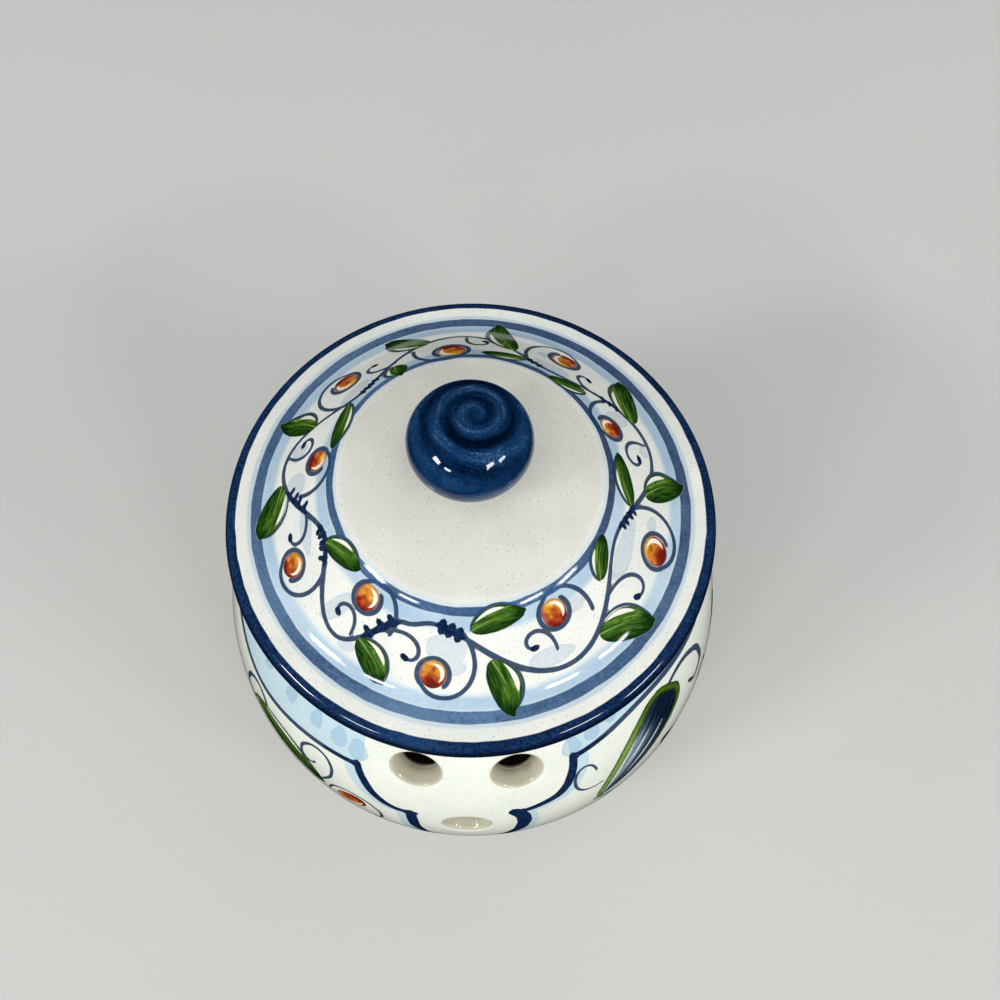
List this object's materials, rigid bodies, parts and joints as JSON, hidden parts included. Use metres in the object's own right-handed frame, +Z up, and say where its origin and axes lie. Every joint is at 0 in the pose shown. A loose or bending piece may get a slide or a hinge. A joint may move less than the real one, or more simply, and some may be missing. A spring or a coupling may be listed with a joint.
{
  "type": "garlic keeper",
  "caption": "Round-bellied glazed earthenware garlic keeper with vent holes through its wall and a bell-shaped lid lifted off by a ball knob.",
  "frame": {"origin": "centre of the foot, on the surface that the keeper stands on", "axes": "+Z up the axis on which every piece is turned, -Y towards the front vents, +X to the right when facing the front vents"},
  "size_m": [0.1486, 0.1486, 0.1557],
  "materials": {
    "pot_glaze": "glossy cream tin glaze with fine speckle, painted under the glaze in blues, greens and orange",
    "lid_glaze": "glossy cream tin glaze with painted blue rings, a vine scroll and a dark blue rim",
    "knob_glaze": "glossy deep blue glaze brushed on in a spiral"
  },
  "bodies": {
    "pot": {"pot": "pot_glaze"},
    "lid": {"lid": "lid_glaze", "lid_knob": "knob_glaze"}
  },
  "joints": [
    {"name": "lid_lift", "type": "slide", "parent": "pot", "child": "lid", "axis": [0, 0, 1], "range_m": [0, 0.1]}
  ]
}
